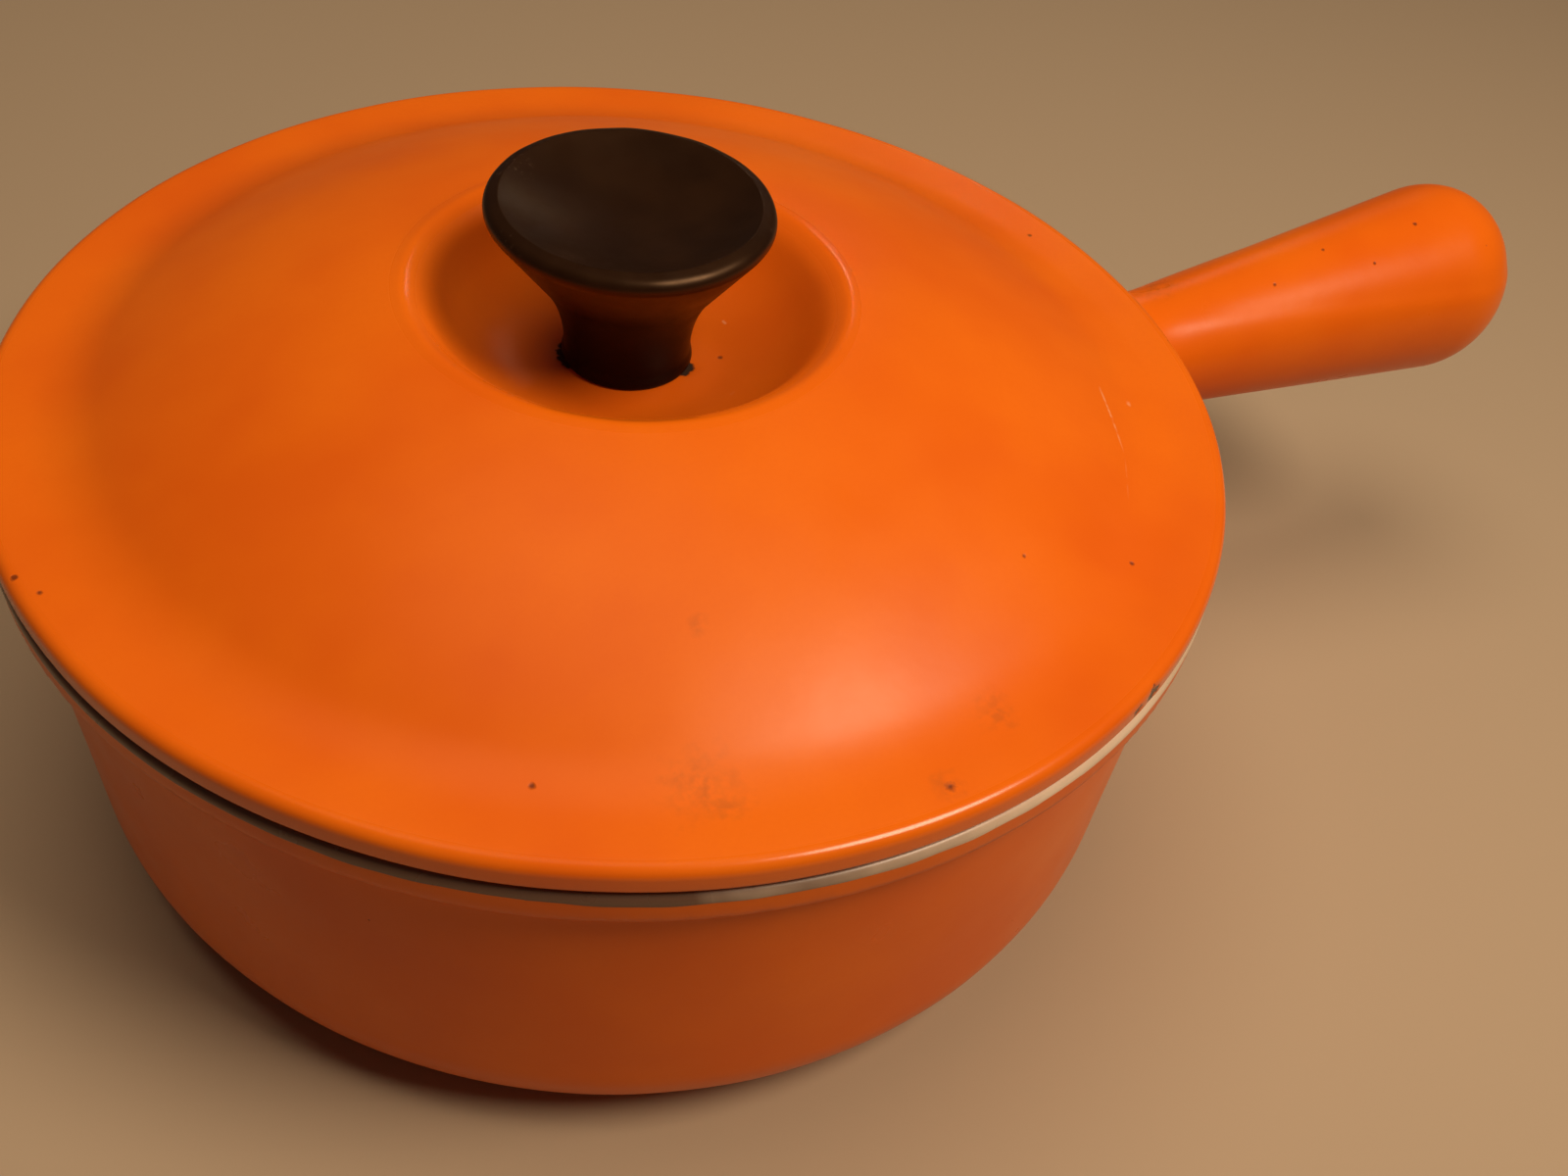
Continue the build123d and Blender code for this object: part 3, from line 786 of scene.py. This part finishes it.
def make_rough_pan():
    """Bowl and handle as solids, remeshed as one."""
    p = pan_profile(2.0)
    p = p[p[:, 1] < RIM_HEIGHT + 3]
    block = turned_solid("block", [(0, 0)] + [tuple(q) for q in p[1:]] + [(0, p[-1, 1])], 128)
    h = [tuple(q) for q in handle_profile(2.0, FLARE)]
    loop = [(-ROOT_DEPTH, 0.0), (-ROOT_DEPTH, h[0][1])] + h[:-1] + [(HANDLE_LENGTH, 0.0)]
    grip = turned_solid("grip", [(out, along) for along, out in loop], 64)
    z_to_x = Matrix(((0, 0, 1), (0, 1, 0), (-1, 0, 0))).to_4x4()
    rise = Matrix.Rotation(-math.radians(HANDLE_RISE), 4, "Y")
    grip.data.transform(Matrix.Translation(Vector(HANDLE_START) * MM) @ rise @ z_to_x)
    roof_end = 130.0
    for v in grip.data.vertices:
        if v.co.x < roof_end * MM:
            v.co.z = min(v.co.z, FLARE_TOP * MM)
    bpy.context.view_layer.objects.active = block
    bpy.ops.object.select_all(action="DESELECT")
    block.select_set(True)
    grip.select_set(True)
    bpy.ops.object.join()
    block.data.remesh_voxel_size = VOXEL * MM
    bpy.ops.object.voxel_remesh()
    return block


def pull_onto_surface(mesh):
    """Even the mesh out and pull it onto the exact surface, all but its top, which is cut off later."""
    verts = places(mesh)
    edges = np.empty(len(mesh.edges) * 2, dtype=int)
    mesh.edges.foreach_get("vertices", edges)
    a, b = edges.reshape(-1, 2).T
    ends = np.bincount(edges, minlength=len(verts))[:, None]
    free = (verts[:, 2] < RIM_HEIGHT + 1) | (np.hypot(verts[:, 0], verts[:, 1]) > RIM_RADIUS + 2)
    for turn in range(PULLS):
        if turn < EVENING_PULLS:
            sums = [np.bincount(a, verts[b, i], len(verts)) + np.bincount(b, verts[a, i], len(verts))
                    for i in range(3)]
            verts += 0.6 * (np.stack(sums, 1) / ends - verts)
        d, g = pan_field(verts)
        verts -= (free * np.clip(d, -1.5, 1.5))[:, None] * unit(g)
    mesh.vertices.foreach_set("co", (verts * MM).ravel())
    mesh.update()


def cut_to_coat(mesh):
    """Leave only what the orange coat covers: below the enamel line, and outside the bare base."""
    bm = bmesh.new()
    bm.from_mesh(mesh)

    def radii(face):
        return [math.hypot(v.co.x, v.co.y) for v in face.verts]

    near = [f for f in bm.faces if min(radii(f)) < (RIM_RADIUS + 2) * MM]
    geometry = list({g for f in near for g in (*f.verts, *f.edges)}) + near
    line = (0, 0, ENAMEL_LINE * MM)
    bmesh.ops.bisect_plane(bm, geom=geometry, plane_co=line, plane_no=(0, 0, 1), clear_outer=True)
    base = [f for f in bm.faces
            if max(v.co.z for v in f.verts) < 0.6 * MM and max(radii(f)) < (BARE_BASE + 0.7) * MM]
    bmesh.ops.delete(bm, geom=base, context="FACES")
    for v in bm.verts:
        if v.is_boundary and v.co.z < 1 * MM:
            share = BARE_BASE * MM / math.hypot(v.co.x, v.co.y)
            v.co = (v.co.x * share, v.co.y * share, 0)
    bmesh.ops.triangulate(bm, faces=[f for f in bm.faces if len(f.verts) > 4])
    bm.to_mesh(mesh)
    bm.free()


def border_faces(mesh, count):
    """Faces that close a coat along its open edges, from each seen vertex to the one count later."""
    bm = bmesh.new()
    bm.from_mesh(mesh)
    made = []
    for edge in bm.edges:
        if edge.is_boundary:
            a, b = (v.index for v in edge.verts)
            order = [v.index for v in edge.link_faces[0].verts]
            a, b = (a, b) if order[(order.index(a) + 1) % len(order)] == b else (b, a)
            made.append((b, a, a + count, b + count))
    bm.free()
    return made


def make_pan_outside():
    """The orange coat over bowl and handle: its seen surface with a slow ripple, and its inner one."""
    block = make_rough_pan()
    pull_onto_surface(block.data)
    cut_to_coat(block.data)
    verts = places(block.data)
    g = unit(pan_field(verts)[1])
    az = np.arctan2(verts[:, 1], verts[:, 0])
    wave = ripple(az, verts[:, 2] + 0.5 * verts[:, 0], 21, 0.03) * np.clip((verts[:, 2] - 2) / 6, 0, 1)
    seen = verts + g * wave[:, None]
    inner = verts - g * COAT
    count = len(verts)
    faces = [tuple(f.vertices) for f in block.data.polygons]
    backs = [tuple(i + count for i in reversed(f)) for f in faces]
    faces += backs + border_faces(block.data, count)
    obj = mesh_object("pan_outside", np.vstack([seen, inner]) * MM, faces)
    obj.data.set_sharp_from_angle(angle=math.radians(SHARP_EDGE))
    bpy.data.objects.remove(block, do_unlink=True)
    return obj


def pan_inside_shape(az, r, z):
    """A ragged lower edge on the rim's outside, and a slow ripple on the floor."""
    low = np.clip((RIM_HEIGHT - 1.0 - z) / 0.4, 0, 1) * (r > RIM_RADIUS - 1.2)
    ragged = ripple(az, 0 * z, 41, 0.16, 30) + ripple(3.4 * az, 0 * z, 42, 0.16, 30)
    z = z + low * np.clip(ragged, -0.45, 0.12)
    wave = ripple(az, z + r, 43, 0.03)
    return r, np.where(z < CAVITY_FLOOR + 1, z + (r < MOUTH - 0.5) * wave, z)


def make_pan_inside():
    """The pale coat: from the ragged line on the rim's outer edge, over the rim, down to the floor."""
    draft = math.degrees(math.atan2(MOUTH - CAVITY_FOOT, RIM_HEIGHT - CAVITY_ROUND - CAVITY_FLOOR))
    path = Path(RIM_RADIUS + 0.03, ENAMEL_LINE - 0.1, 90, 0.5)
    path.run_to_z(RIM_HEIGHT - RIM_OUTER_ROUND)
    path.arc(RIM_OUTER_ROUND, 90)
    path.step = 1.2
    path.run_to_r(MOUTH + RIM_INNER_ROUND)
    path.arc(RIM_INNER_ROUND, 90 - draft)
    path.step = 2.4
    path.run_to_z(CAVITY_FLOOR + CAVITY_ROUND)
    path.arc(CAVITY_ROUND, -(90 - draft))
    path.run_to_r(0.05)
    return turned_shell("pan_inside", path.points, COAT, 512, pan_inside_shape, 2)


# ---- placing ----------------------------------------------------------------
for piece, body, slot, node, material in (
    (make_lid_top(), "lid", "orange_enamel", "lid_top_enamel", lid_orange),
    (make_lid_underside(), "lid", "pale_enamel", "lid_underside_enamel", pale),
    (make_knob(), "lid", "black_phenolic", "knob", black),
    (make_pan_outside(), "pan", "orange_enamel", "pan_exterior_enamel", pan_orange),
    (make_pan_inside(), "pan", "pale_enamel", "pan_interior_enamel", pale),
):
    piece.data.materials.append(material)
    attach(piece, body)
    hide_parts(node)

for node, material in (
    ("pan_casting", iron),
    ("lid_casting", iron),
    ("knob_insert", brass),
    ("knob_screw", steel),
    ("knob_washer", steel),
):
    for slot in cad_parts[node].material_slots:
        slot.material = material


# ---- floor ------------------------------------------------------------------
bpy.ops.mesh.primitive_plane_add(size=5)
floor = bpy.context.object
floor.name = "floor"
ground = Nodes("pale_floor")
floor.data.materials.append(ground.set(color=(0.45, 0.35, 0.245), roughness=0.8, specular=0.2))
